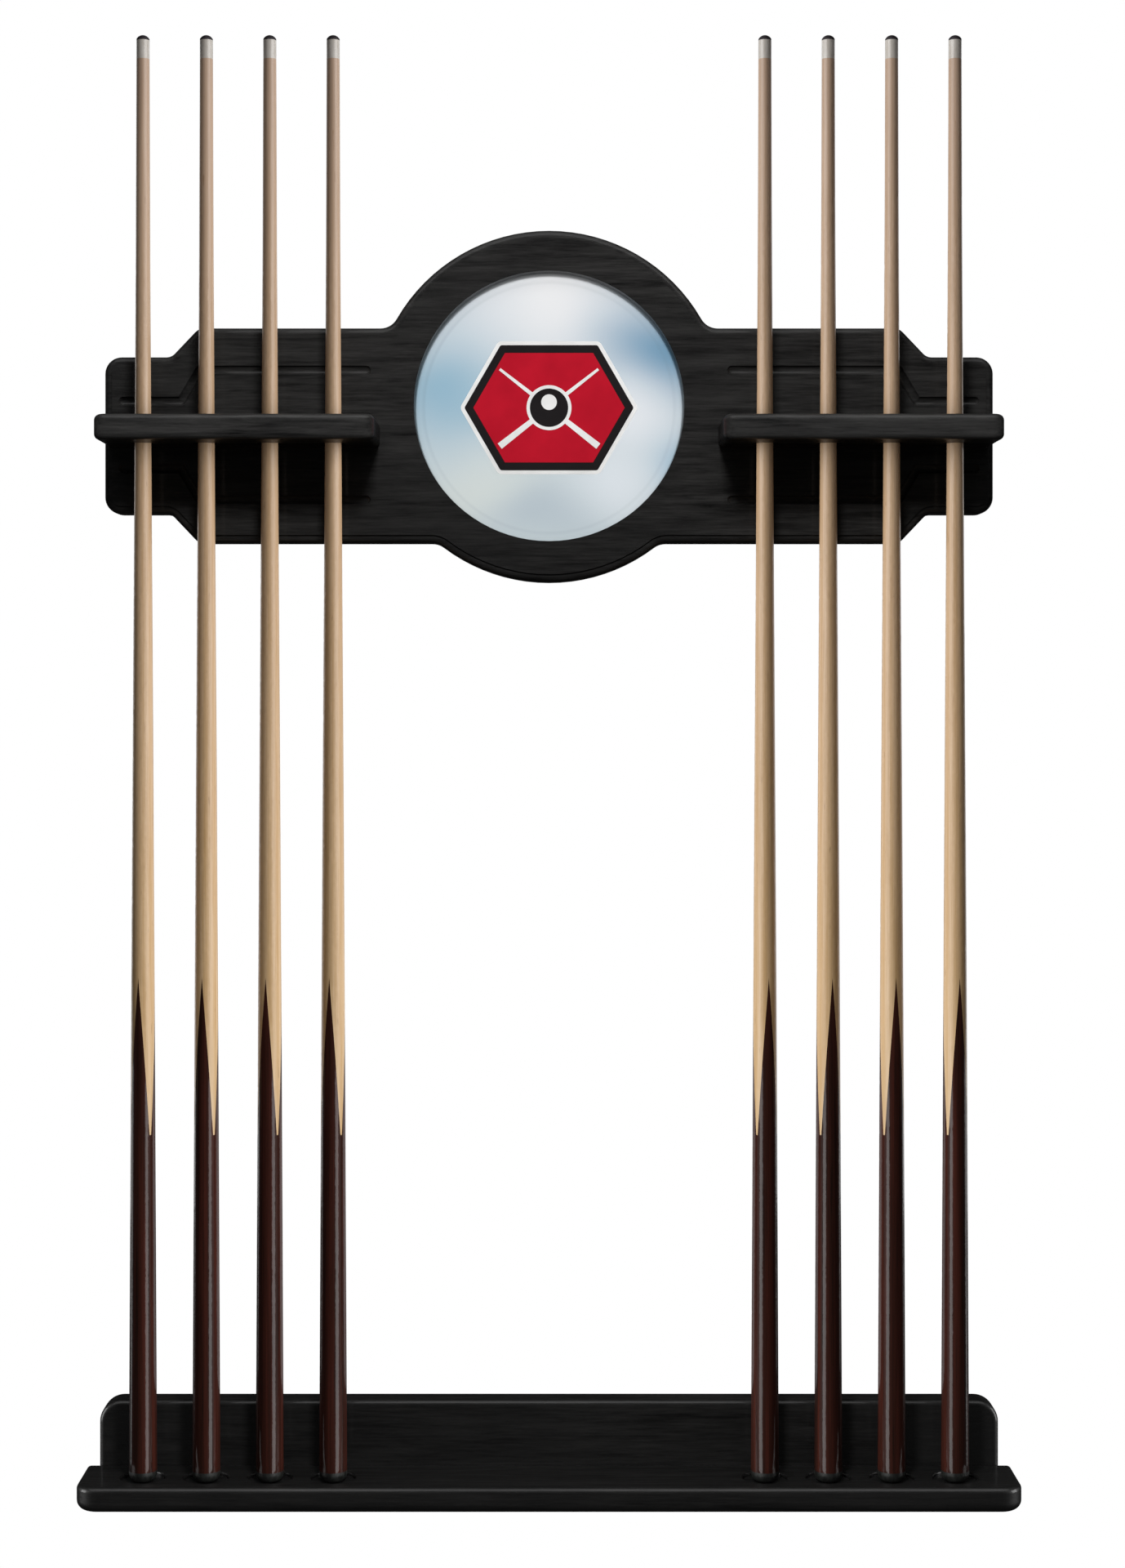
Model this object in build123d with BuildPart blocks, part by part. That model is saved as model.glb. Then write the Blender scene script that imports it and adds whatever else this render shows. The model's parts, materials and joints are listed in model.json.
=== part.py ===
"""Two-piece wall rack for eight billiard cues.

Axes: +X to the right as seen from the room, +Z up, the wall is the plane Y = 0 and the room is on
the -Y side. The origin is the centre of the lower board's wall face. Lengths are in millimetres.
"""

from build123d import *

import math
import os

# --- boards -------------------------------------------------------------------------------------
BOARD_T = 25.4  # stock thickness of both wall boards
WING_Z = 1027.0  # height of the upper board's centreline above the lower board's centre
WING_HALF_H = 109.5
TAB_HALF_H = 80.0  # the narrower ends of the wings
HALF_W = 452.4
TAB_INNER_X = 385.0  # where a tab starts to slope up to the wing
WING_OUTER_X = 357.0  # where that slope ends
TAB_CORNER_R = 17.0
SLOPE_R = 12.0
DISC_R = 179.2
DISC_RISE = 29.8  # disc centre above the wings' centreline
DISC_NECK_R = 19.0
OPENING_R = 137.5

# Stepped round-over round the upper board's front edge.
EDGE_R = 6.35
EDGE_STEP = 1.6
EDGE_INSET = 8.0

# Round-nosed decorative grooves, one above and one below each wing's centreline.
GROOVE_BALL_R = 5.0
GROOVE_DEPTH = 3.2
GROOVE_PATH = ((186.0, 66.0), (355.0, 66.0), (374.0, 34.3), (433.0, 34.3))  # (x, height)

LOWER_W = 914.4
SHELF_T = 25.4
LOWER_RISE = 66.0  # lower board above the shelf's top
LOWER_H = LOWER_RISE + SHELF_T
LOWER_CORNER_R = 22.0
LOWER_EDGE_R = 5.0

# --- cues: spacing shared by the arms' holes and the shelf's cups --------------------------------
CUE_PITCH = 63.5
CUE_GROUP_X = 311.5
CUE_OFF_BOARD = 38.1  # cue axis in front of the boards' faces
CUES_PER_SIDE = 4

SHELF_W = 939.8  # a little past the lower board at each end
SHELF_D = 76.2
SHELF_CORNER_R = 22.0
SHELF_TOP_R = 5.0
SHELF_BOTTOM_R = 9.5
CUP_R = 22.2
CUP_DEPTH = 4.0
CUP_LIP_R = 2.0

ARM_X = 310.5  # arm centre; the arm reaches further inwards past its row of cues
ARM_L = 277.0
ARM_D = 88.9
ARM_T = 25.4
ARM_CORNER_R = 12.7
ARM_EDGE_R = 6.0
ARM_HOLE_R = 12.7
ARM_HOLE_LIP_R = 1.5

# --- mirror -------------------------------------------------------------------------------------
RABBET_R = 147.0
RABBET_DEPTH = 7.4
GLASS_R = 146.6
GLASS_T = 3.0
BACKER_T = 2.0
CLIP_COUNT = 6
CLIP_W = 14.0
CLIP_L = 26.0
CLIP_T = 1.5
CLIP_MID_R = 151.0  # clip centre from the mirror's centre
CLIP_SCREW_R = 157.0  # clip screw from the mirror's centre
POCKET_GAP = 0.4  # clearance round let-in metal plates

# --- emblem: printed colour layers on the glass ----------------------------------------------------
EMBLEM_HALF_W = 91.3
EMBLEM_HALF_H = 68.0
EMBLEM_FLAT_HALF_W = 52.0  # half of the straight top and bottom edges
EMBLEM_CORNER_R = 7.0
EMBLEM_BORDER = 4.0
EMBLEM_OUTLINE = 8.0
LAYER_T = 0.25
MOTIF_CUE_L = 128.0
MOTIF_CUE_BUTT = 3.4  # half width
MOTIF_CUE_TIP = 1.3  # half width
MOTIF_CUE_ANGLE = 38.0
MOTIF_DISC_R = 23.0
MOTIF_BALL_R = 19.6
MOTIF_SPOT_R = 8.0
MOTIF_SPOT_RISE = 5.6

# --- keyhole hangers ------------------------------------------------------------------------------
HANGER_X = 203.2  # half of a 16 in stud spacing
HANGER_W = 16.0
HANGER_H = 45.0
HANGER_T = 1.5
HANGER_CORNER_R = 4.0
HANGER_ENTRY_R = 5.0
HANGER_ENTRY_Z = -4.0
HANGER_SLOT_W = 5.0
HANGER_SLOT_TOP_Z = 9.0
HANGER_SCREW_Z = 17.5
HANGER_POCKET_W = 12.0
HANGER_POCKET_DEPTH = 10.0
UPPER_HANGER_Z = WING_Z + 30.0
LOWER_HANGER_Z = 12.0

# --- screws: shank radius, head radius, length ------------------------------------------------------
LONG_SCREW = (2.1, 4.2, 62.0)
SMALL_SCREW = (1.75, 3.3, 15.0)
SCREW_GAP = 0.3
ARM_SCREWS = 3
SHELF_SCREWS = 5
SHELF_SCREW_PITCH = 190.5
SMALL_OFFSET = 0.01

# --- cue, measured up from the bottom of its bumper ---------------------------------------------------
CUE_L = 1447.8
BUMPER_H = 11.5
BUMPER_EDGE_R = 9.0
STEM_R = 5.0
STEM_L = 15.5
SPLICE_BASE_Z = 348.0
SPLICE_TIP_Z = 505.0
FERRULE_Z = 1423.7
TIP_Z = 1442.5
TIP_SIDE_H = 1.4
CUE_TIP_R = 6.5
CUE_BUTT_R = 14.0
# (height, radius) of the convex house-cue taper
CUE_TAPER = (
    (BUMPER_H, CUE_BUTT_R),
    (255.8, 12.75),
    (501.8, 11.5),
    (828.8, 9.6),
    (1053.8, 8.2),
    (1237.8, 7.15),
    (FERRULE_Z, CUE_TIP_R),
)
TENON_R = 4.0
TENON_L = 15.0
FIT_GAP = 0.3
PRONGS = 3
PRONG_ROOT = 1.1  # wedge root from the cue's axis at the splice's base
PRONG_HALF_ANGLES = (60.0, 40.0)  # between a wedge's sides, at the splice's base and at its tips
PRONG_REACH = 24.0  # wedges run past the cue's surface
PRONG_RUN_ON = 24.0
SPLICE_TURN = 15.0  # splice turned away from the rack's centre

DISC_Z = WING_Z + DISC_RISE
SHELF_TOP_Z = -LOWER_H / 2 + SHELF_T
CUE_BASE_Z = SHELF_TOP_Z - CUP_DEPTH
CUE_Y = -(BOARD_T + CUE_OFF_BOARD)
GLASS_FACE = RABBET_DEPTH  # distance of the glass face from the wall
GROUP_OFFSETS = [(i - (CUES_PER_SIDE - 1) / 2) * CUE_PITCH for i in range(CUES_PER_SIDE)]
CUE_XS = [side * CUE_GROUP_X + offset for side in (-1, 1) for offset in GROUP_OFFSETS]

os.makedirs("parts", exist_ok=True)


def wood_screw(size):
    """Countersunk cross-head screw, head face at the origin, pointing along +Z."""
    shank_r, head_r, length = size
    head_h = head_r - shank_r
    with BuildPart() as screw:
        with BuildSketch(Plane.XZ):
            with BuildLine():
                Polyline(
                    (0, 0),
                    (head_r, 0),
                    (shank_r, head_h),
                    (shank_r, length - 2 * shank_r),
                    (0, length),
                    close=True,
                )
            make_face()
        revolve(axis=Axis.Z)
        with BuildSketch():
            Rectangle(1.1 * head_r, 0.22 * head_r)
            Rectangle(0.22 * head_r, 1.1 * head_r)
        extrude(amount=0.6 * head_h, mode=Mode.SUBTRACT)
    return screw.part


def facing_room(x, y, z):
    """Plane at a point whose normal points into the room."""
    return Plane(origin=(x, y, z), x_dir=(1, 0, 0), z_dir=(0, -1, 0))


def screw_hole(size):
    """Solid to subtract for a countersunk screw, with clearance all round."""
    shank_r, head_r, length = size
    wide_r = head_r + SCREW_GAP
    thin_r = shank_r + SCREW_GAP
    with BuildPart() as hole:
        with BuildSketch(Plane.XZ):
            with BuildLine():
                Polyline(
                    (0, -1),
                    (wide_r, -1),
                    (wide_r, 0),
                    (thin_r, head_r - shank_r),
                    (thin_r, length + SCREW_GAP),
                    (0, length + SCREW_GAP),
                    close=True,
                )
            make_face()
        revolve(axis=Axis.Z)
    return hole.part


def groove_cutter(side, direction):
    """Ball-nosed cut along one groove path on the side and height sign given."""
    depth_axis = -(BOARD_T + GROOVE_BALL_R - GROOVE_DEPTH)
    points = [Vector(side * x, depth_axis, WING_Z + direction * z) for x, z in GROOVE_PATH]
    with BuildPart() as cutter:
        for start, end in zip(points, points[1:]):
            run = end - start
            with BuildSketch(Plane(origin=start, z_dir=run)):
                Circle(GROOVE_BALL_R)
            extrude(amount=run.length)
        with Locations(*points):
            Sphere(GROOVE_BALL_R)
    return cutter.part


def clip_places(radius, y):
    """Places round the mirror, local X running outwards."""
    turns = [360 / CLIP_COUNT * (i + 0.5) for i in range(CLIP_COUNT)]
    centre = Plane(origin=(0, y, DISC_Z), x_dir=(1, 0, 0), z_dir=(0, -1, 0)).location
    return [centre * Rotation(0, 0, turn) * Location((radius, 0, 0)) for turn in turns]


def mirror_clip():
    """Flat retaining plate, centred on the origin and lying along local X."""
    with BuildPart() as clip:
        with BuildSketch():
            RectangleRounded(CLIP_L, CLIP_W, CLIP_W / 4)
        extrude(amount=CLIP_T)
    return clip.part


def hanger_pocket():
    """Solid to subtract behind a keyhole hanger, built on the wall plane, pointing into the board."""
    with BuildPart() as pocket:
        with BuildSketch():
            RectangleRounded(
                HANGER_W + 2 * POCKET_GAP, HANGER_H + 2 * POCKET_GAP, HANGER_CORNER_R + POCKET_GAP
            )
        extrude(amount=HANGER_T)
        with BuildSketch():
            with Locations((0, (HANGER_ENTRY_Z + HANGER_SLOT_TOP_Z) / 2)):
                SlotOverall(
                    HANGER_SLOT_TOP_Z - HANGER_ENTRY_Z + HANGER_POCKET_W, HANGER_POCKET_W, rotation=90
                )
        extrude(amount=HANGER_POCKET_DEPTH)
        with Locations((0, HANGER_SCREW_Z, 0), (0, -HANGER_SCREW_Z, 0)):
            add(small_hole)
    return pocket.part


def hanger_plate():
    """Keyhole plate on the wall plane, entry hole below its slot."""
    with BuildPart() as plate:
        with BuildSketch():
            RectangleRounded(HANGER_W, HANGER_H, HANGER_CORNER_R)
            with Locations((0, HANGER_ENTRY_Z)):
                Circle(HANGER_ENTRY_R, mode=Mode.SUBTRACT)
            with Locations((0, (HANGER_ENTRY_Z + HANGER_SLOT_TOP_Z) / 2)):
                SlotOverall(
                    HANGER_SLOT_TOP_Z - HANGER_ENTRY_Z + HANGER_SLOT_W,
                    HANGER_SLOT_W,
                    rotation=90,
                    mode=Mode.SUBTRACT,
                )
        extrude(amount=HANGER_T)
        with Locations((0, HANGER_SCREW_Z, 0), (0, -HANGER_SCREW_Z, 0)):
            add(small_hole, mode=Mode.SUBTRACT)
    return plate.part


def hanger_places(z):
    return [facing_room(side * HANGER_X, 0, z).location for side in (-1, 1)]


long_screw = wood_screw(LONG_SCREW)
small_screw = wood_screw(SMALL_SCREW)
long_hole = screw_hole(LONG_SCREW)
small_hole = screw_hole(SMALL_SCREW)
clip_solid = mirror_clip()
pocket_solid = hanger_pocket()
plate_solid = hanger_plate()

arm_screw_places = [
    facing_room(side * CUE_GROUP_X + (i - (ARM_SCREWS - 1) / 2) * CUE_PITCH, 0, WING_Z).location
    for side in (-1, 1)
    for i in range(ARM_SCREWS)
]
shelf_screw_places = [
    facing_room((i - (SHELF_SCREWS - 1) / 2) * SHELF_SCREW_PITCH, 0, SHELF_TOP_Z - SHELF_T / 2).location
    for i in range(SHELF_SCREWS)
]
hanger_screw_places = [
    facing_room(side * HANGER_X, 0, z + offset).location
    for z in (UPPER_HANGER_Z, LOWER_HANGER_Z)
    for side in (-1, 1)
    for offset in (-HANGER_SCREW_Z, HANGER_SCREW_Z)
]

# --- upper board: wings with stepped ends, and a disc that frames the mirror ----------------------------
with BuildSketch() as outline:
    with BuildLine():
        Polyline(
            (0, WING_HALF_H),
            (WING_OUTER_X, WING_HALF_H),
            (TAB_INNER_X, TAB_HALF_H),
            (HALF_W, TAB_HALF_H),
            (HALF_W, -TAB_HALF_H),
            (TAB_INNER_X, -TAB_HALF_H),
            (WING_OUTER_X, -WING_HALF_H),
            (0, -WING_HALF_H),
        )
        mirror(about=Plane.YZ)
    make_face()
    with Locations((0, DISC_RISE)):
        Circle(DISC_R)
    ends = outline.vertices().filter_by(lambda v: abs(v.X) > HALF_W - 1)
    fillet(ends, TAB_CORNER_R)
    slopes = outline.vertices().filter_by(
        lambda v: min(abs(abs(v.X) - TAB_INNER_X), abs(abs(v.X) - WING_OUTER_X)) < 1
    )
    fillet(slopes, SLOPE_R)
    necks = outline.vertices().filter_by(lambda v: 1 < abs(v.X) < DISC_R)
    fillet(necks, DISC_NECK_R)

with BuildPart() as upper_board:
    with BuildSketch(facing_room(0, 0, WING_Z)):
        add(outline.sketch)
    extrude(amount=BOARD_T - EDGE_STEP)
    fillet(upper_board.faces().sort_by(Axis.Y)[0].outer_wire().edges(), EDGE_R)
    with BuildSketch(facing_room(0, EDGE_STEP - BOARD_T, WING_Z)):
        add(outline.sketch)
        offset(amount=-EDGE_INSET, mode=Mode.REPLACE)
    extrude(amount=EDGE_STEP)
    with BuildSketch(facing_room(0, 0, DISC_Z)):
        Circle(OPENING_R)
    extrude(amount=BOARD_T, mode=Mode.SUBTRACT)
    with BuildSketch(facing_room(0, 0, DISC_Z)):
        Circle(RABBET_R)
    extrude(amount=RABBET_DEPTH, mode=Mode.SUBTRACT)
    for side in (-1, 1):
        for direction in (-1, 1):
            add(groove_cutter(side, direction), mode=Mode.SUBTRACT)
    with Locations(*clip_places(CLIP_MID_R, 0)):
        Box(
            CLIP_L + 2 * POCKET_GAP,
            CLIP_W + 2 * POCKET_GAP,
            2 * (RABBET_DEPTH - GLASS_T - BACKER_T),
            mode=Mode.SUBTRACT,
        )
    with Locations(*clip_places(CLIP_SCREW_R, -(RABBET_DEPTH - GLASS_T - BACKER_T - CLIP_T))):
        add(small_hole, mode=Mode.SUBTRACT)
    with Locations(*arm_screw_places):
        add(long_hole, mode=Mode.SUBTRACT)
    with Locations(*hanger_places(UPPER_HANGER_Z)):
        add(pocket_solid, mode=Mode.SUBTRACT)
upper_board.part.label = "upper_board"
export_step(upper_board.part, "parts/upper_board.step")

# --- arms: solid shelves that the shafts pass through ---------------------------------------------------
for arm_name, side in (("left_arm", -1), ("right_arm", 1)):
    with BuildPart() as arm:
        with BuildSketch(Plane.XY.offset(WING_Z - ARM_T / 2)):
            with Locations((side * ARM_X, -BOARD_T - ARM_D / 2)):
                arm_plan = Rectangle(ARM_L, ARM_D)
            fillet(arm_plan.vertices().group_by(Axis.Y)[0], ARM_CORNER_R)
        extrude(amount=ARM_T)
        arm_rims = (
            arm.faces().sort_by(Axis.Z)[0].edges() + arm.faces().sort_by(Axis.Z)[-1].edges()
        ).filter_by(lambda e: e.center().Y < -BOARD_T - 1)
        fillet(arm_rims, ARM_EDGE_R)
        with Locations(*[(side * CUE_GROUP_X + offset, CUE_Y, WING_Z) for offset in GROUP_OFFSETS]):
            Cylinder(ARM_HOLE_R, ARM_T, mode=Mode.SUBTRACT)
        hole_rims = arm.edges().filter_by(
            lambda e: e.geom_type == GeomType.CIRCLE and abs(e.radius - ARM_HOLE_R) < SMALL_OFFSET
        )
        fillet(hole_rims, ARM_HOLE_LIP_R)
        with Locations(*arm_screw_places):
            add(long_hole, mode=Mode.SUBTRACT)
    arm.part.label = arm_name
    export_step(arm.part, f"parts/{arm_name}.step")

with BuildPart() as arm_screws:
    with Locations(*arm_screw_places):
        add(long_screw)
arm_screws.part.label = "arm_screws"
export_step(arm_screws.part, "parts/arm_screws.step")

# --- mirror, its backing and the clips that hold both in the rabbet -----------------------------------------
with BuildPart() as mirror_glass:
    with BuildSketch(facing_room(0, GLASS_T - RABBET_DEPTH, DISC_Z)):
        Circle(GLASS_R)
    extrude(amount=GLASS_T)
mirror_glass.part.label = "mirror_glass"
export_step(mirror_glass.part, "parts/mirror_glass.step")

with BuildPart() as mirror_backer:
    with BuildSketch(facing_room(0, GLASS_T + BACKER_T - RABBET_DEPTH, DISC_Z)):
        Circle(GLASS_R)
    extrude(amount=BACKER_T)
mirror_backer.part.label = "mirror_backer"
export_step(mirror_backer.part, "parts/mirror_backer.step")

clip_rear_y = -(RABBET_DEPTH - GLASS_T - BACKER_T - CLIP_T)
with BuildPart() as mirror_clips:
    with Locations(*clip_places(CLIP_MID_R, clip_rear_y)):
        add(clip_solid)
    with Locations(*clip_places(CLIP_SCREW_R, clip_rear_y)):
        add(small_hole, mode=Mode.SUBTRACT)
mirror_clips.part.label = "mirror_clips"
export_step(mirror_clips.part, "parts/mirror_clips.step")

with BuildPart() as clip_screws:
    with Locations(*clip_places(CLIP_SCREW_R, clip_rear_y)):
        add(small_screw)
clip_screws.part.label = "clip_screws"
export_step(clip_screws.part, "parts/clip_screws.step")

# --- emblem: a six-sided badge with crossed cues and a ball, one layer per colour ------------------------------
with BuildSketch() as badge:
    with BuildLine():
        Polyline(
            (EMBLEM_HALF_W, 0),
            (EMBLEM_FLAT_HALF_W, EMBLEM_HALF_H),
            (-EMBLEM_FLAT_HALF_W, EMBLEM_HALF_H),
            (-EMBLEM_HALF_W, 0),
            (-EMBLEM_FLAT_HALF_W, -EMBLEM_HALF_H),
            (EMBLEM_FLAT_HALF_W, -EMBLEM_HALF_H),
            close=True,
        )
    make_face()
    fillet(badge.vertices(), EMBLEM_CORNER_R)

with BuildPart() as emblem_border:
    with BuildSketch(facing_room(0, -GLASS_FACE, DISC_Z)):
        add(badge.sketch)
    extrude(amount=LAYER_T)
emblem_border.part.label = "emblem_border"
export_step(emblem_border.part, "parts/emblem_border.step")

with BuildPart() as emblem_outline:
    with BuildSketch(facing_room(0, -GLASS_FACE - LAYER_T, DISC_Z)):
        add(badge.sketch)
        offset(amount=-EMBLEM_BORDER, mode=Mode.REPLACE)
    extrude(amount=LAYER_T)
emblem_outline.part.label = "emblem_outline"
export_step(emblem_outline.part, "parts/emblem_outline.step")

with BuildPart() as emblem_field:
    with BuildSketch(facing_room(0, -GLASS_FACE - 2 * LAYER_T, DISC_Z)):
        add(badge.sketch)
        offset(amount=-EMBLEM_BORDER - EMBLEM_OUTLINE, mode=Mode.REPLACE)
    extrude(amount=LAYER_T)
emblem_field.part.label = "emblem_field"
export_step(emblem_field.part, "parts/emblem_field.step")

with BuildPart() as emblem_motif:
    with BuildSketch(facing_room(0, -GLASS_FACE - 3 * LAYER_T, DISC_Z)):
        for angle in (MOTIF_CUE_ANGLE, 180 - MOTIF_CUE_ANGLE):
            with Locations(Location((0, 0), angle)):
                Polygon(
                    (-MOTIF_CUE_L / 2, -MOTIF_CUE_BUTT),
                    (MOTIF_CUE_L / 2, -MOTIF_CUE_TIP),
                    (MOTIF_CUE_L / 2, MOTIF_CUE_TIP),
                    (-MOTIF_CUE_L / 2, MOTIF_CUE_BUTT),
                    align=None,
                )
        Circle(MOTIF_DISC_R)
    extrude(amount=LAYER_T)
    with BuildSketch(facing_room(0, -GLASS_FACE - 5 * LAYER_T, DISC_Z)):
        with Locations((0, MOTIF_SPOT_RISE)):
            Circle(MOTIF_SPOT_R)
    extrude(amount=LAYER_T)
emblem_motif.part.label = "emblem_motif"
export_step(emblem_motif.part, "parts/emblem_motif.step")

with BuildPart() as emblem_ball:
    with BuildSketch(facing_room(0, -GLASS_FACE - 4 * LAYER_T, DISC_Z)):
        Circle(MOTIF_BALL_R)
    extrude(amount=LAYER_T)
emblem_ball.part.label = "emblem_ball"
export_step(emblem_ball.part, "parts/emblem_ball.step")

# --- lower board and the shelf the cues stand on -----------------------------------------------------------------
with BuildPart() as lower_board:
    with BuildSketch(facing_room(0, 0, 0)):
        lower_outline = Rectangle(LOWER_W, LOWER_H)
        fillet(lower_outline.vertices().group_by(Axis.Y)[-1], LOWER_CORNER_R)
    extrude(amount=BOARD_T)
    lower_rims = (
        lower_board.faces().sort_by(Axis.Y)[0].edges().filter_by(lambda e: e.center().Z > 1 - LOWER_H / 2)
    )
    fillet(lower_rims, LOWER_EDGE_R)
    with Locations(*shelf_screw_places):
        add(long_hole, mode=Mode.SUBTRACT)
    with Locations(*hanger_places(LOWER_HANGER_Z)):
        add(pocket_solid, mode=Mode.SUBTRACT)
lower_board.part.label = "lower_board"
export_step(lower_board.part, "parts/lower_board.step")

with BuildPart() as shelf:
    with BuildSketch(Plane.XY.offset(SHELF_TOP_Z - SHELF_T)):
        with Locations((0, -BOARD_T - SHELF_D / 2)):
            shelf_plan = Rectangle(SHELF_W, SHELF_D)
        fillet(shelf_plan.vertices().group_by(Axis.Y)[0], SHELF_CORNER_R)
    extrude(amount=SHELF_T)
    top_rim = shelf.faces().sort_by(Axis.Z)[-1].edges().filter_by(lambda e: e.center().Y < -BOARD_T - 1)
    fillet(top_rim, SHELF_TOP_R)
    low_rim = shelf.faces().sort_by(Axis.Z)[0].edges().filter_by(lambda e: e.center().Y < -BOARD_T - 1)
    fillet(low_rim, SHELF_BOTTOM_R)
    with Locations(*[(x, CUE_Y, SHELF_TOP_Z) for x in CUE_XS]):
        Cylinder(CUP_R, 2 * CUP_DEPTH, mode=Mode.SUBTRACT)
    cup_rims = shelf.edges().filter_by(
        lambda e: e.geom_type == GeomType.CIRCLE
        and abs(e.radius - CUP_R) < SMALL_OFFSET
        and abs(e.center().Z - SHELF_TOP_Z) < SMALL_OFFSET
    )
    fillet(cup_rims, CUP_LIP_R)
    with Locations(*shelf_screw_places):
        add(long_hole, mode=Mode.SUBTRACT)
shelf.part.label = "shelf"
export_step(shelf.part, "parts/shelf.step")

with BuildPart() as shelf_screws:
    with Locations(*shelf_screw_places):
        add(long_screw)
shelf_screws.part.label = "shelf_screws"
export_step(shelf_screws.part, "parts/shelf_screws.step")

# --- keyhole hangers ----------------------------------------------------------------------------------------------
for hanger_name, hanger_z in (("upper_hanger_plates", UPPER_HANGER_Z), ("lower_hanger_plates", LOWER_HANGER_Z)):
    with BuildPart() as hangers:
        with Locations(*hanger_places(hanger_z)):
            add(plate_solid)
    hangers.part.label = hanger_name
    export_step(hangers.part, f"parts/{hanger_name}.step")

with BuildPart() as hanger_screws:
    with Locations(*hanger_screw_places):
        add(small_screw)
hanger_screws.part.label = "hanger_screws"
export_step(hanger_screws.part, "parts/hanger_screws.step")

# --- cues -----------------------------------------------------------------------------------------------------------
with BuildPart() as cue_blank:
    with BuildSketch(Plane.XZ):
        with BuildLine():
            side_line = Spline(*[(radius, height) for height, radius in CUE_TAPER])
            Polyline(side_line @ 1, (0, FERRULE_Z), (0, BUMPER_H), side_line @ 0)
        make_face()
    revolve(axis=Axis.Z)

blank_at_tips = cue_blank.part & Plane.XY.offset(SPLICE_TIP_Z) * Rectangle(4 * CUE_BUTT_R, 4 * CUE_BUTT_R)
tip_level_r = blank_at_tips.bounding_box().max.X
prong_slope = (tip_level_r - PRONG_ROOT) / (SPLICE_TIP_Z - SPLICE_BASE_Z)
prong_levels = (
    (SPLICE_BASE_Z, PRONG_ROOT, PRONG_HALF_ANGLES[0]),
    (SPLICE_TIP_Z + PRONG_RUN_ON, tip_level_r + prong_slope * PRONG_RUN_ON, PRONG_HALF_ANGLES[1]),
)

# One wedge whose root line rises from the cue's axis to its surface.
with BuildPart() as prong:
    for level, root, half_angle in prong_levels:
        half_mouth = (PRONG_REACH - root) * math.tan(math.radians(half_angle))
        with BuildSketch(Plane.XY.offset(level)):
            Polygon((root, 0), (PRONG_REACH, half_mouth), (PRONG_REACH, -half_mouth), align=None)
    loft(ruled=True)


def dark_region(turn):
    """Everything below the splice's base plus the rising prongs, turned about the cue's axis."""
    with BuildPart() as region:
        with PolarLocations(0, PRONGS, start_angle=turn):
            add(prong.part)
        with Locations((0, 0, SPLICE_BASE_Z)):
            Box(
                4 * CUE_BUTT_R, 4 * CUE_BUTT_R, SPLICE_BASE_Z, align=(Align.CENTER, Align.CENTER, Align.MAX)
            )
    return region.part


def cue_shaft(region):
    """Maple shaft with its tenon for the ferrule."""
    with BuildPart() as piece:
        add(cue_blank.part)
        add(region, mode=Mode.SUBTRACT)
        with Locations((0, 0, FERRULE_Z)):
            Cylinder(TENON_R, TENON_L, align=(Align.CENTER, Align.CENTER, Align.MIN))
    return piece.part


def cue_butt(region):
    """Dark butt with its prongs, bored for the bumper's stem."""
    with BuildPart() as piece:
        add(cue_blank.part)
        add(region, mode=Mode.INTERSECT)
        with Locations((0, 0, BUMPER_H)):
            Cylinder(
                STEM_R + FIT_GAP,
                STEM_L + FIT_GAP,
                align=(Align.CENTER, Align.CENTER, Align.MIN),
                mode=Mode.SUBTRACT,
            )
    return piece.part


with BuildPart() as cue_bumper:
    Cylinder(CUE_BUTT_R, BUMPER_H, align=(Align.CENTER, Align.CENTER, Align.MIN))
    fillet(cue_bumper.edges().sort_by(Axis.Z)[0], BUMPER_EDGE_R)
    with Locations((0, 0, BUMPER_H)):
        Cylinder(STEM_R, STEM_L, align=(Align.CENTER, Align.CENTER, Align.MIN))

with BuildPart() as cue_ferrule:
    with Locations((0, 0, FERRULE_Z)):
        Cylinder(CUE_TIP_R, TIP_Z - FERRULE_Z, align=(Align.CENTER, Align.CENTER, Align.MIN))
        Cylinder(
            TENON_R + FIT_GAP,
            TENON_L + FIT_GAP,
            align=(Align.CENTER, Align.CENTER, Align.MIN),
            mode=Mode.SUBTRACT,
        )

with BuildPart() as cue_tip:
    with BuildSketch(Plane.XZ):
        with BuildLine():
            tip_dome = ThreePointArc(
                (CUE_TIP_R, TIP_Z + TIP_SIDE_H), (0, CUE_L), (-CUE_TIP_R, TIP_Z + TIP_SIDE_H)
            )
            Polyline(tip_dome @ 1, (-CUE_TIP_R, TIP_Z), (CUE_TIP_R, TIP_Z), tip_dome @ 0)
        make_face()
        split(bisect_by=Plane.YZ)
    revolve(axis=Axis.Z)

cue_pieces = {}
for side in (-1, 1):
    region = dark_region(-90 + side * SPLICE_TURN)
    cue_pieces[side] = {
        "tip": cue_tip.part,
        "ferrule": cue_ferrule.part,
        "shaft": cue_shaft(region),
        "butt": cue_butt(region),
        "bumper": cue_bumper.part,
    }

for number, x in enumerate(CUE_XS, start=1):
    for piece_name, master in cue_pieces[1 if x > 0 else -1].items():
        with BuildPart() as piece:
            with Locations((x, CUE_Y, CUE_BASE_Z)):
                add(master)
        piece.part.label = f"cue_{number}_{piece_name}"
        export_step(piece.part, f"parts/cue_{number}_{piece_name}.step")
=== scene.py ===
"""Looks of the wall cue rack: materials, studio light and camera, in the CAD's own frame (metres)."""

import json
import math

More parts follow.
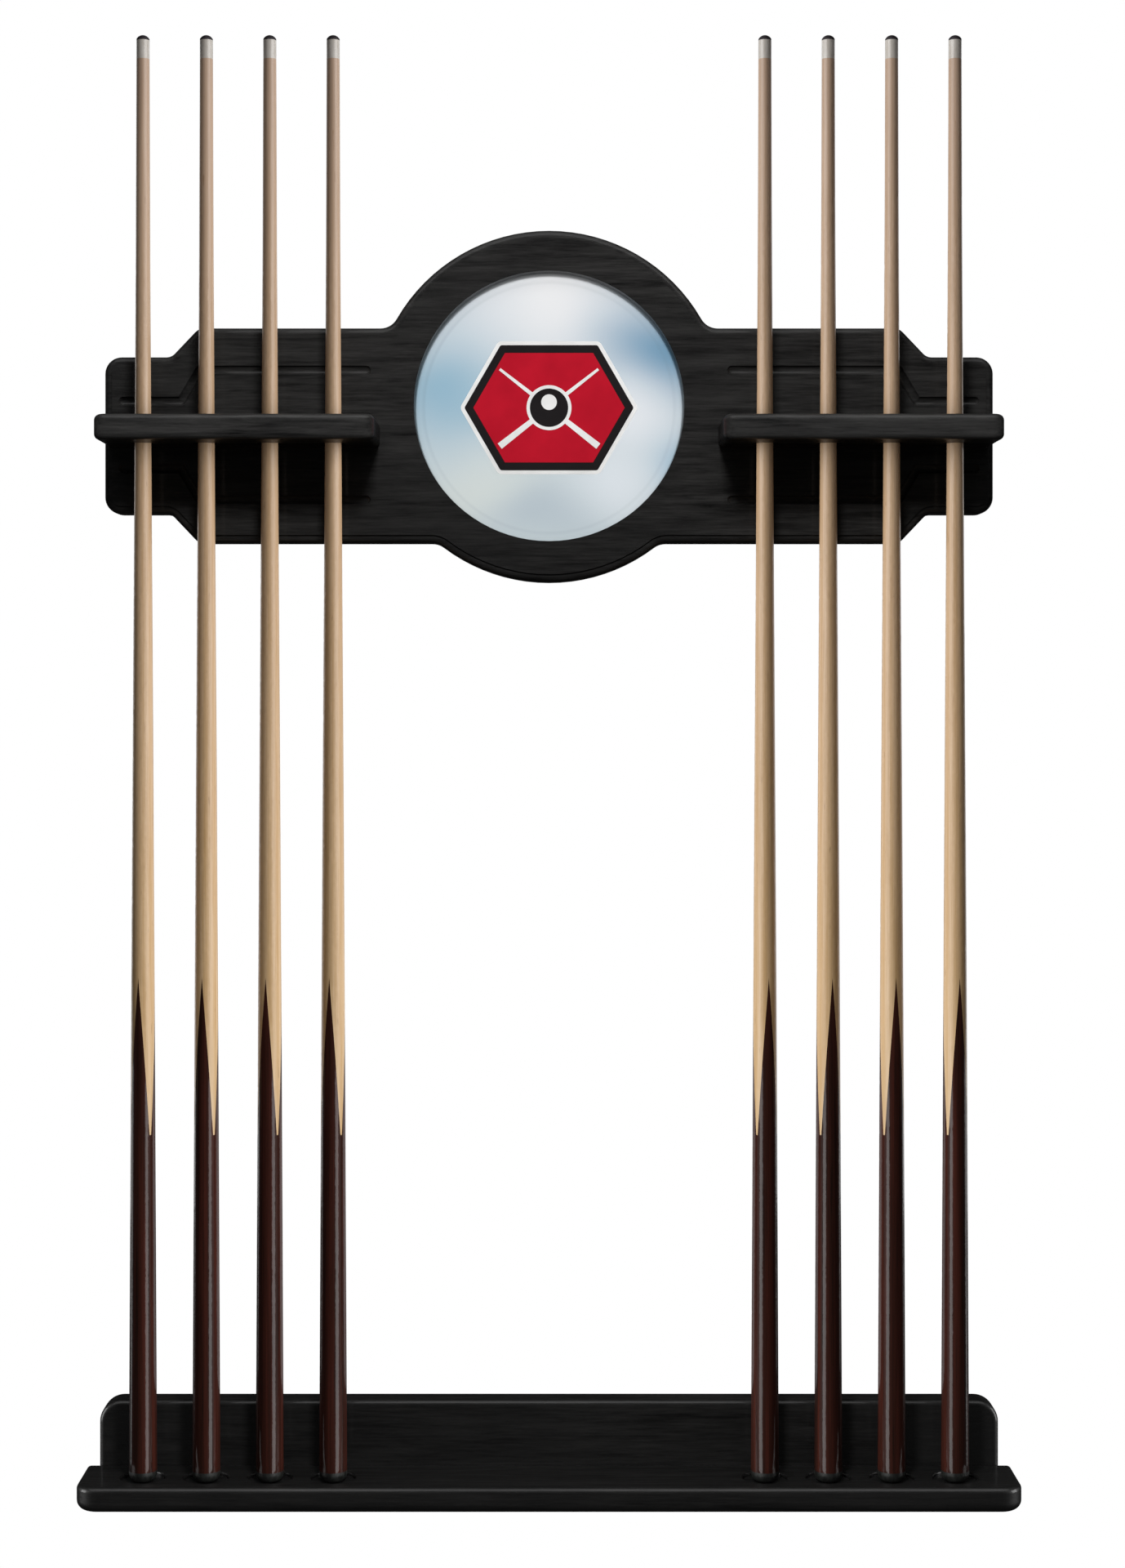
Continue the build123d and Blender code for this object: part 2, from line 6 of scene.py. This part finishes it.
import bpy
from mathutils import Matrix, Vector


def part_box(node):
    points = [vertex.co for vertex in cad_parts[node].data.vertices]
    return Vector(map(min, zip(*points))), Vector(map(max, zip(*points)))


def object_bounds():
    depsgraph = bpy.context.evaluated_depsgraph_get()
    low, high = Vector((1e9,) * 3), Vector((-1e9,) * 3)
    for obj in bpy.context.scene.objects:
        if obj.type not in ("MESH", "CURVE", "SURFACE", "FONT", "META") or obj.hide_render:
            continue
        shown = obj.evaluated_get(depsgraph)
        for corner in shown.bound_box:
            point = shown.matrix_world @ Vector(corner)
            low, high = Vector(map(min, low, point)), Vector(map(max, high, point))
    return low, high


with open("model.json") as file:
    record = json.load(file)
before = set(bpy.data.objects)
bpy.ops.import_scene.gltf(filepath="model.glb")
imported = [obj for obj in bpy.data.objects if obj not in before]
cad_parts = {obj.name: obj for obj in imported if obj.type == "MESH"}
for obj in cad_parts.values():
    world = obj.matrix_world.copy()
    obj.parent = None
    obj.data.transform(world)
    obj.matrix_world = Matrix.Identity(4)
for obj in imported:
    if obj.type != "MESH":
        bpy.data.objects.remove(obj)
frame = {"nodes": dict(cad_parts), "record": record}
cad_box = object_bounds()
nodes = frame["nodes"]
slots = {entry["node"]: entry["material_slot"] for entry in frame["record"]["subparts"]}

VISIBLE_GLASS_R = 0.1375  # opening in front of the mirror
BEVEL_W = 0.012  # shaded band round the visible glass
PAINTED_SKY_STRENGTH = 0.92  # of the painted reflection's sky patches in the mirror
PAINTED_SKY_EDGE = 0.37  # how much of a painted sky patch is left at its nominal edge
MAPLE_PAINTED_LIGHT_Z = (0.30, 1.42)  # heights over which the maple's painted light runs from bright golden to grey


class Shader:
    """A node material under construction, with one Principled shader."""

    def __init__(self, name, **sockets):
        self.material = bpy.data.materials.new(name)
        self.material.use_nodes = True
        self.tree = self.material.node_tree
        self.principled = next(n for n in self.tree.nodes if n.type == "BSDF_PRINCIPLED")
        for socket, value in sockets.items():
            self.principled.inputs[socket.replace("_", " ")].default_value = value

    def node(self, kind, **settings):
        made = self.tree.nodes.new(kind)
        for key, value in settings.items():
            setattr(made, key, value)
        return made

    def link(self, source, target):
        self.tree.links.new(source, target)

    def drive(self, socket, source):
        """Link a texture to one of the shader's own inputs."""
        self.link(source, self.principled.inputs[socket])

    def place(self, scale=(1, 1, 1), shift=(0, 0, 0)):
        """Object coordinates, scaled per axis and shifted."""
        coords = self.node("ShaderNodeTexCoord")
        mapping = self.node("ShaderNodeMapping")
        mapping.inputs["Scale"].default_value = scale
        mapping.inputs["Location"].default_value = shift
        self.link(coords.outputs["Object"], mapping.inputs["Vector"])
        return mapping.outputs["Vector"]

    def streaks(self, source, low, high):
        """A noise spread out: 0 below low, 1 above high."""
        return self.ramp(source, ((low, 0.0), (high, 1.0)))

    def noise(self, scale, detail=4.0, roughness=0.55, distortion=0.0, shift=(0, 0, 0)):
        texture = self.node("ShaderNodeTexNoise")
        texture.inputs["Scale"].default_value = 1.0
        texture.inputs["Detail"].default_value = detail
        texture.inputs["Roughness"].default_value = roughness
        texture.inputs["Distortion"].default_value = distortion
        self.link(self.place(scale, shift), texture.inputs["Vector"])
        return texture.outputs["Fac"]

    def ramp(self, source, stops, smooth=False):
        """Colours, or plain numbers, against the source's value."""
        made = self.node("ShaderNodeValToRGB")
        made.color_ramp.interpolation = "EASE" if smooth else "LINEAR"
        elements = made.color_ramp.elements
        while len(elements) < len(stops):
            elements.new(0.5)
        for element, (position, colour) in zip(elements, stops):
            element.position = position
            grey = isinstance(colour, (int, float))
            element.color = (colour, colour, colour, 1) if grey else (*colour, 1)
        self.link(source, made.inputs["Fac"])
        return made.outputs["Color"]

    def mix(self, factor, a, b):
        """Mix of two colours; the factor and the colours are sockets or constants."""
        made = self.node("ShaderNodeMix", data_type="RGBA")
        colours = [socket for socket in made.inputs if socket.type == "RGBA"]
        for socket, value in zip((made.inputs["Factor"], *colours), (factor, a, b)):
            if isinstance(value, bpy.types.NodeSocket):
                self.link(value, socket)
            elif isinstance(value, tuple):
                socket.default_value = (*value, 1)
            else:
                socket.default_value = value
        return next(socket for socket in made.outputs if socket.type == "RGBA")

    def math(self, operation, a, b=0.0, clamp=False):
        """Arithmetic on sockets or constants."""
        made = self.node("ShaderNodeMath", operation=operation, use_clamp=clamp)
        for socket, value in zip(made.inputs, (a, b)):
            if isinstance(value, bpy.types.NodeSocket):
                self.link(value, socket)
            else:
                socket.default_value = value
        return made.outputs[0]

    def axis(self, letter):
        """One object coordinate, in metres."""
        coords = self.node("ShaderNodeTexCoord")
        split = self.node("ShaderNodeSeparateXYZ")
        self.link(coords.outputs["Object"], split.inputs[0])
        return split.outputs[letter]

    def span(self, source, low, high):
        """A measure turned into 0 at low and 1 at high."""
        made = self.node("ShaderNodeMapRange")
        made.inputs["From Min"].default_value = low
        made.inputs["From Max"].default_value = high
        self.link(source, made.inputs["Value"])
        return made.outputs[0]

    def bump(self, height, distance, strength=1.0):
        """Relief of this depth in metres."""
        made = self.node("ShaderNodeBump")
        made.inputs["Strength"].default_value = strength
        made.inputs["Distance"].default_value = distance
        self.link(height, made.inputs["Height"])
        self.drive("Normal", made.outputs["Normal"])


def stained_wood():
    """Black-stained board with the grain running along X."""
    wood = Shader("stained_wood", Specular_IOR_Level=0.17, Coat_Weight=0.18, Coat_Roughness=0.12)
    streaks = wood.noise((24, 400, 400), detail=6, roughness=0.72)
    bands = wood.noise((8, 85, 85), detail=4, distortion=0.5, shift=(3, 1, 2))
    clouds = wood.noise((3.5, 5, 9), detail=2, shift=(7, 2, 5))
    tone = wood.mix(0.5, wood.streaks(streaks, 0.34, 0.68), wood.streaks(bands, 0.3, 0.7))
    base = wood.ramp(tone, ((0.12, (0.0022, 0.0022, 0.0022)), (0.85, (0.0215, 0.0210, 0.0205))))
    faded = wood.ramp(clouds, ((0.35, 0.0), (0.7, 0.4)))
    wood.drive("Base Color", wood.mix(faded, base, (0.0105, 0.0105, 0.0105)))
    wood.drive("Roughness", wood.ramp(tone, ((0.0, 0.56), (1.0, 0.36))))
    wood.bump(streaks, 0.00030, 0.7)
    return wood.material


def maple():
    """Clear-coated shaft wood with painted light: brighter and golden near the splice, greyer towards the
    tip.
    """
    wood = Shader("maple", Coat_Weight=0.12, Coat_Roughness=0.28, Specular_IOR_Level=0.45)
    fine = wood.noise((950, 950, 14), detail=5, roughness=0.65)
    broad = wood.noise((170, 170, 2.6), detail=3, distortion=0.5, shift=(4, 9, 1))
    # Painted light: the shaft's colours are brighter and golden low down and greyer towards the tip.
    height = wood.span(wood.axis("Z"), *MAPLE_PAINTED_LIGHT_Z)
    pale = wood.ramp(
        height, ((0.0, (0.745, 0.53, 0.305)), (0.5, (0.67, 0.465, 0.29)), (1.0, (0.52, 0.37, 0.27)))
    )
    shade = wood.ramp(
        height, ((0.0, (0.56, 0.335, 0.125)), (0.5, (0.49, 0.305, 0.15)), (1.0, (0.375, 0.25, 0.175)))
    )
    grain = wood.mix(0.5, wood.streaks(fine, 0.35, 0.66), wood.streaks(broad, 0.34, 0.66))
    colour = wood.mix(grain, shade, pale)
    flecks = wood.noise((420, 420, 45), detail=2, roughness=0.5, shift=(1, 5, 8))
    fleck = wood.ramp(flecks, ((0.69, 0.0), (0.77, 0.5)))
    wood.drive("Base Color", wood.mix(fleck, colour, (0.28, 0.15, 0.07)))
    wood.drive("Roughness", wood.ramp(fine, ((0.3, 0.46), (0.7, 0.36))))
    wood.bump(fine, 0.00005, 0.5)
    return wood.material


def dark_butt():
    """Glossy lacquer over dark red-brown wood."""
    wood = Shader("dark_butt", Coat_Weight=0.45, Coat_Roughness=0.10, Specular_IOR_Level=0.04)
    fine = wood.noise((800, 800, 9), detail=5, roughness=0.7)
    broad = wood.noise((130, 130, 1.8), detail=3, distortion=0.4, shift=(2, 6, 3))
    grain = wood.mix(0.55, wood.streaks(fine, 0.33, 0.68), wood.streaks(broad, 0.32, 0.68))
    tone = wood.ramp(grain, ((0.1, (0.0160, 0.0078, 0.0056)), (0.9, (0.088, 0.0225, 0.0150))))
    wood.drive("Base Color", tone)
    wood.drive("Roughness", wood.ramp(fine, ((0.3, 0.45), (0.7, 0.33))))
    wood.bump(fine, 0.00004, 0.35)
    return wood.material


def mirror():
    """Pale silvered glass with a painted reflection of a soft sky in it, and round its visible edge
    painted shade and a bump that stand for a shallow bevelled border.
    """
    glass = Shader("mirror", Metallic=0.45, Coat_Weight=0.6, Coat_Roughness=0.03)
    low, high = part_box("mirror_glass")
    middle = (low + high) / 2
    reach = VISIBLE_GLASS_R
    across = glass.span(glass.axis("X"), middle.x - reach, middle.x + reach)
    up = glass.span(glass.axis("Z"), middle.z - reach, middle.z + reach)
    drift = glass.noise((6.5, 1, 6.5), detail=1.5, roughness=0.35, shift=(2.35, 0, 0.8))
    sway = glass.math("MULTIPLY", glass.math("SUBTRACT", drift, 0.5), 0.28)

    def sky_patch_paint(x, z, wide, tall):
        """Soft painted patch of sky reflection: 1 at its middle (x, z), PAINTED_SKY_EDGE at wide or tall
        from it.
        """
        dx = glass.math("DIVIDE", glass.math("SUBTRACT", glass.math("ADD", across, sway), x), wide)
        dz = glass.math("DIVIDE", glass.math("SUBTRACT", glass.math("SUBTRACT", up, sway), z), tall)
        square = glass.math("ADD", glass.math("MULTIPLY", dx, dx), glass.math("MULTIPLY", dz, dz))
        return glass.math("POWER", PAINTED_SKY_EDGE, square)

    # Painted reflection of a sky as the glass's colour, bluer towards the top.
    painted_reflection = glass.mix(up, (0.62, 0.71, 0.74), (0.66, 0.75, 0.83))
    # Painted reflection: clouds and patches of sky, placed in fractions of the visible glass.
    for patch, colour in (
        (sky_patch_paint(0.55, 0.90, 0.32, 0.22), (0.99, 0.99, 1.0)),
        (sky_patch_paint(0.12, 0.55, 0.24, 0.16), (0.28, 0.50, 0.65)),
        (sky_patch_paint(0.92, 0.70, 0.21, 0.15), (0.065, 0.27, 0.46)),
        (sky_patch_paint(0.79, 0.47, 0.17, 0.17), (0.90, 0.93, 0.97)),
        (sky_patch_paint(0.99, 0.27, 0.10, 0.14), (0.36, 0.55, 0.70)),
        (sky_patch_paint(0.22, 0.20, 0.30, 0.16), (0.72, 0.78, 0.76)),
        (sky_patch_paint(0.52, 0.09, 0.24, 0.12), (0.50, 0.59, 0.65)),
        (sky_patch_paint(0.78, 0.20, 0.16, 0.13), (0.80, 0.86, 0.91)),
    ):
        painted_reflection = glass.mix(glass.math("MULTIPLY", patch, PAINTED_SKY_STRENGTH), painted_reflection, colour)

    # Painted shade standing for a bevelled border: pale and dark bands near the visible edge, strongest at
    # the left and top and faint at the right; the bump gives its slope.
    coords = glass.node("ShaderNodeTexCoord")
    offset = glass.node("ShaderNodeVectorMath", operation="SUBTRACT")
    offset.inputs[1].default_value = (middle.x, low.y, middle.z)
    glass.link(coords.outputs["Object"], offset.inputs[0])
    length = glass.node("ShaderNodeVectorMath", operation="LENGTH")
    glass.link(offset.outputs[0], length.inputs[0])
    radius = glass.span(length.outputs["Value"], reach - BEVEL_W, reach)
    edge_shade_ring = glass.ramp(
        radius, ((0.0, 0.0), (0.22, 0.30), (0.5, 0.06), (0.82, 0.20), (1.0, 0.75)), smooth=True
    )
    leftward = glass.math("SUBTRACT", glass.math("MULTIPLY", up, 0.35), across)
    shaded = glass.ramp(leftward, ((0.0, 0.25), (0.6, 1.0)))
    painted_edge_shade = glass.math("MULTIPLY", edge_shade_ring, glass.math("ADD", glass.math("MULTIPLY", shaded, 0.95), 0.05))
    # Base colour: the painted sky reflection, darkened towards blue-grey by the painted edge shade.
    glass.drive("Base Color", glass.mix(painted_edge_shade, painted_reflection, (0.14, 0.20, 0.22)))
    glass.drive("Roughness", glass.ramp(drift, ((0.3, 0.10), (0.7, 0.14))))
    glass.bump(glass.math("SUBTRACT", 1.0, radius, clamp=True), 0.0006, 0.25)
    return glass.material


def print_ink(name, colour):
    """Printed layer of the badge, a little uneven."""
    ink = Shader(name, Coat_Weight=0.10, Coat_Roughness=0.15, Specular_IOR_Level=0.25)
    grain = ink.noise((2600, 2600, 2600), detail=2)
    cloud = ink.noise((38, 38, 38), detail=2)
    darker = tuple(c * 0.86 for c in colour)
    ink.drive("Base Color", ink.mix(ink.streaks(cloud, 0.3, 0.7), darker, colour))
    ink.drive("Roughness", ink.ramp(cloud, ((0.3, 0.34), (0.7, 0.42))))
    ink.bump(grain, 0.00002, 0.3)
    return ink.material


def hardboard():
    """Brown pressed fibre."""
    board = Shader("hardboard", Specular_IOR_Level=0.3)
    fibres = board.noise((700, 700, 700), detail=5, roughness=0.75)
    blotches = board.noise((22, 22, 22), detail=3, shift=(1, 2, 3))
    tone = board.mix(0.5, fibres, blotches)
    board.drive("Base Color", board.ramp(tone, ((0.35, (0.17, 0.095, 0.045)), (0.65, (0.31, 0.19, 0.10)))))
    board.drive("Roughness", board.ramp(fibres, ((0.3, 0.92), (0.7, 0.75))))
    board.bump(fibres, 0.00015, 0.7)
    return board.material


def zinc_steel(name, colour):
    """Plated steel, brushed and faintly spangled."""
    steel = Shader(name, Metallic=1.0)
    brush = steel.noise((160, 160, 2400), detail=3, roughness=0.6)
    spangle = steel.noise((240, 240, 240), detail=2, distortion=0.8)
    duller = tuple(c * 0.72 for c in colour)
    steel.drive("Base Color", steel.mix(steel.streaks(spangle, 0.35, 0.65), duller, colour))
    steel.drive("Roughness", steel.ramp(brush, ((0.3, 0.26), (0.7, 0.42))))
    steel.bump(brush, 0.00003, 0.5)
    return steel.material


def tip_leather():
    """Dark leather with a little chalk on it."""
    leather = Shader("tip_leather", Specular_IOR_Level=0.35)
    pores = leather.noise((1500, 1500, 1500), detail=4, roughness=0.7)
    chalk = leather.noise((420, 420, 420), detail=3, shift=(5, 3, 2))
    dark = leather.ramp(pores, ((0.3, (0.012, 0.009, 0.012)), (0.7, (0.045, 0.036, 0.042))))
    dust = leather.ramp(chalk, ((0.55, 0.0), (0.75, 0.35)))
    leather.drive("Base Color", leather.mix(dust, dark, (0.10, 0.12, 0.16)))
    leather.drive("Roughness", leather.ramp(pores, ((0.3, 0.9), (0.7, 0.6))))
    leather.bump(pores, 0.00012, 0.8)
    return leather.material


def ferrule():
    """Pale, slightly clouded plastic."""
    plastic = Shader("ferrule", Coat_Weight=0.3, Coat_Roughness=0.12)
    cloud = plastic.noise((180, 180, 60), detail=3)
    tone = plastic.ramp(cloud, ((0.3, (0.47, 0.425, 0.375)), (0.7, (0.56, 0.53, 0.49))))
    plastic.drive("Base Color", tone)
    plastic.drive("Roughness", plastic.ramp(cloud, ((0.3, 0.30), (0.7, 0.40))))
    plastic.bump(cloud, 0.00003, 0.3)
    return plastic.material


def bumper_rubber():
    """Scuffed dark rubber."""
    rubber = Shader("bumper_rubber", Specular_IOR_Level=0.45)
    speckle = rubber.noise((1300, 1300, 1300), detail=3, roughness=0.7)
    scuffs = rubber.noise((260, 260, 90), detail=4, shift=(3, 3, 1))
    base = rubber.ramp(scuffs, ((0.35, (0.0085, 0.0095, 0.0085)), (0.75, (0.024, 0.027, 0.024))))
    rubber.drive("Base Color", base)
    rubber.drive("Roughness", rubber.ramp(scuffs, ((0.3, 0.38), (0.75, 0.58))))
    rubber.bump(speckle, 0.00006, 0.6)
    return rubber.material


finishes = {
    "stained_wood": stained_wood(),
    "maple": maple(),
    "dark_butt": dark_butt(),
    "mirror": mirror(),
    "hardboard": hardboard(),
    "plated_steel": zinc_steel("plated_steel", (0.62, 0.61, 0.56)),
    "screw_steel": zinc_steel("screw_steel", (0.50, 0.47, 0.38)),
    "print_white": print_ink("print_white", (0.90, 0.90, 0.89)),
    "print_black": print_ink("print_black", (0.016, 0.014, 0.015)),
    "print_red": print_ink("print_red", (0.52, 0.008, 0.024)),
    "tip_leather": tip_leather(),
    "ferrule": ferrule(),
    "bumper_rubber": bumper_rubber(),
}
for name, obj in nodes.items():
    obj.data.materials.clear()
    obj.data.materials.append(finishes[slots[name]])

# --- studio: pale floor, soft light, camera in front ----------------------------------------------
UPPER_Z = 1.05  # height of the mirror's centre
MIDDLE_Z = 0.75
GROUP_X = 0.31  # centre of each group of cues
FLOOR_DROP = 0.72
FLOOR_HALF_X, FLOOR_HALF_Y, FLOOR_Y = 2.3, 1.656, -0.5
ROOM_GLOW, ROOM_SHEEN = 0.11, 0.025  # what faces and glossy faces get from the room
CAMERA_BACK, CAMERA_Z = 2.6254, 0.7637
CAMERA_LENS = 58.73  # mm
CAMERA_SHIFT = (0.0086, -0.0573)  # of the picture across and up

scene = bpy.context.scene
scene.view_settings.view_transform = "Standard"

floor_z = cad_box[0].z - FLOOR_DROP
floor_mesh = bpy.data.meshes.new("floor")
corners = [
    (sx * FLOOR_HALF_X, FLOOR_Y + sy * FLOOR_HALF_Y, floor_z)
    for sx, sy in ((-1, -1), (1, -1), (1, 1), (-1, 1))
]
floor_mesh.from_pydata(corners, [], [(0, 1, 2, 3)])
floor = bpy.data.objects.new("floor", floor_mesh)
scene.collection.objects.link(floor)
paint = Shader("floor_paint", Roughness=0.8)
paint.drive("Base Color", paint.ramp(paint.noise((6, 6, 6), detail=3), ((0.3, 0.80), (0.7, 0.86))))
floor.data.materials.append(paint.material)
floor.visible_diffuse = False
floor.visible_glossy = False

# A white room in the picture, but a dim one on the object.
world = bpy.data.worlds.new("studio")
scene.world = world
world.use_nodes = True
tree = world.node_tree
rays = tree.nodes.new("ShaderNodeLightPath")


def glow(strength):
    """White room light of this strength."""
    made = tree.nodes.new("ShaderNodeBackground")
    made.inputs["Color"].default_value = (1, 1, 1, 1)
    made.inputs["Strength"].default_value = strength
    return made.outputs[0]


def sort_rays(kind, others, chosen):
    """chosen for one kind of ray, others for the rest."""
    made = tree.nodes.new("ShaderNodeMixShader")
    tree.links.new(rays.outputs[kind], made.inputs["Fac"])
    tree.links.new(others, made.inputs[1])
    tree.links.new(chosen, made.inputs[2])
    return made.outputs[0]


unseen = sort_rays("Is Glossy Ray", glow(ROOM_GLOW), glow(ROOM_SHEEN))
room = sort_rays("Is Camera Ray", unseen, glow(1.0))
tree.links.new(room, tree.nodes["World Output"].inputs["Surface"])


def softbox(name, place, aim, size, watts):
    """Rectangular lamp aimed at a point; its size is width and height."""
    data = bpy.data.lights.new(name, "AREA")
    data.shape = "RECTANGLE"
    data.size, data.size_y = size
    data.energy = watts
    lamp = bpy.data.objects.new(name, data)
    scene.collection.objects.link(lamp)
    lamp.location = place
    lamp.rotation_euler = (Vector(aim) - Vector(place)).to_track_quat("-Z", "Y").to_euler()
    lamp.visible_camera = False
    return lamp


def distant(name, azimuth, elevation, strength, width):
    """Light from far off: azimuth from the front towards +X, width its angular size, in degrees."""
    data = bpy.data.lights.new(name, "SUN")
    data.energy, data.angle = strength, math.radians(width)
    lamp = bpy.data.objects.new(name, data)
    scene.collection.objects.link(lamp)
    around, up = math.radians(azimuth), math.radians(elevation)
    source = Vector((math.sin(around) * math.cos(up), -math.cos(around) * math.cos(up), math.sin(up)))
    lamp.rotation_euler = source.to_track_quat("Z", "Y").to_euler()
    return lamp


def light(lamp, pieces, reflected=True, soaked=True):
    """The lamp lights these pieces alone: as a reflection, as plain light, or as both."""
    group = bpy.data.collections.new(lamp.name + "_receivers")
    for piece in pieces:
        group.objects.link(piece)
    lamp.light_linking.receiver_collection = group
    lamp.visible_glossy = reflected
    lamp.visible_diffuse = soaked


def pick(*words, side=0):
    """Nodes whose names contain one of the words, on one side of the rack if asked."""
    return [
        obj
        for name, obj in nodes.items()
        if any(word in name for word in words) and (side == 0 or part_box(name)[0].x * side > 0)
    ]


# Cues: a broad glow from the rack's centre, and on the lacquered butts a stripe and lit edges.
for word, side in (("left", -1), ("right", 1)):
    pale_end = pick("_shaft", "_ferrule", "_tip", side=side)
    dark_end = pick("_butt", "_bumper", side=side)

    shaft_glow = distant(f"{word}_shaft_glow", azimuth=-side * 56, elevation=6, strength=2.8, width=56)
    light(shaft_glow, pale_end)
    butt_glow = distant(f"{word}_butt_glow", azimuth=-side * 60, elevation=6, strength=1.9, width=50)
    light(butt_glow, dark_end, reflected=False)

    group_foot = (side * GROUP_X, 0, 0.2)
    stripe = softbox(f"{word}_stripe", (-side * 1.0, -1.55, 0.2), group_foot, size=(0.95, 2.6), watts=36)
    light(stripe, dark_end, soaked=False)
    outer_rim = distant(f"{word}_outer_rim", azimuth=side * 108, elevation=0, strength=0.55, width=34)
    light(outer_rim, dark_end, soaked=False)
    sheen = distant(f"{word}_cue_sheen", azimuth=-side * 60, elevation=0, strength=0.24, width=44)
    light(sheen, dark_end)
    edge = distant(f"{word}_cue_edge", azimuth=-side * 128, elevation=0, strength=0.55, width=44)
    light(edge, pale_end + dark_end)

    rim_aim = (side * 0.3, 0, 0.7)
    rim = softbox(f"{word}_rim", (side * 2.6, 2.2, 0.9), rim_aim, size=(1.0, 2.6), watts=22)
    light(rim, pale_end + dark_end)
    flank_aim = (side * 0.4, 0, 0.3)
    flank = softbox(f"{word}_flank", (side * 2.2, -0.5, 0.3), flank_aim, size=(1.0, 1.2), watts=50)
    light(flank, pick("lower_board", "shelf"), soaked=False)

# Black wood: small keys for the shadows, gleams that show on its rounded edges only.
upper_middle = (0, 0, UPPER_Z)
lower_middle = (0, 0, 0)
upper_wood = pick("upper_board", "_arm")
lower_wood = pick("lower_board", "shelf")
rack = [obj for name, obj in nodes.items() if not name.startswith("cue_")]

overhead = softbox("overhead", (0, -1.55, 2.5), (0, 0, MIDDLE_Z), size=(2.6, 0.35), watts=6)
light(overhead, rack)
board_key = softbox("board_key", (0, -1.15, 1.82), (0, 0, 1.03), size=(0.24, 0.24), watts=25)
light(board_key, upper_wood, reflected=False)
shelf_key = softbox("shelf_key", (0, -0.85, 0.70), lower_middle, size=(0.16, 0.16), watts=6.5)
light(shelf_key, lower_wood, reflected=False)
arm_key = distant("arm_key", azimuth=0, elevation=25, strength=2.2, width=20)
light(arm_key, pick("_arm"), reflected=False)
upper_gleam = softbox("upper_gleam", (0, -0.75, UPPER_Z + 1.45), upper_middle, size=(3.0, 1.5), watts=20)
light(upper_gleam, upper_wood, soaked=False)
lower_gleam = softbox("lower_gleam", (0, -0.75, 1.45), lower_middle, size=(3.0, 1.5), watts=34)
light(lower_gleam, lower_wood + pick("_bumper"), soaked=False)

# Mirror and badge: a pale card in the reflection, and plain light on the glass and the print.
mirror_glass = pick("mirror_glass")
mirror_card = softbox("mirror_card", (0, -3.0, 1.35), upper_middle, size=(1.2, 1.2), watts=4.8)
light(mirror_card, mirror_glass)
mirror_wash = softbox("mirror_wash", (0, -2.9, 1.5), upper_middle, size=(1.6, 1.2), watts=37)
light(mirror_wash, mirror_glass, reflected=False)
emblem_wash = softbox("emblem_wash", (0, -2.2, 2.6), upper_middle, size=(1.2, 0.8), watts=70)
light(emblem_wash, pick("emblem"), reflected=False)

# Behind the rack, and the floor.
rear_fill = distant("rear_fill", azimuth=158, elevation=2, strength=1.5, width=60)
light(rear_fill, rack, reflected=False)
rear_gleam = softbox("rear_gleam", (-1.2, 2.4, 1.2), (0, 0, 0.8), size=(2.0, 1.6), watts=26)
light(rear_gleam, pick("_screws", "_clips", "_plates"))
floor_light = distant("floor_light", azimuth=0, elevation=70, strength=2.7, width=20)
light(floor_light, [floor])

# Camera: square to the wall, in front of the space between the two boards.
camera_data = bpy.data.cameras.new("camera")
camera_data.lens = CAMERA_LENS
camera_data.shift_x, camera_data.shift_y = CAMERA_SHIFT
camera = bpy.data.objects.new("camera", camera_data)
scene.collection.objects.link(camera)
camera.location = (0, -CAMERA_BACK, CAMERA_Z)
camera.rotation_euler = (math.radians(90), 0, 0)
scene.camera = camera
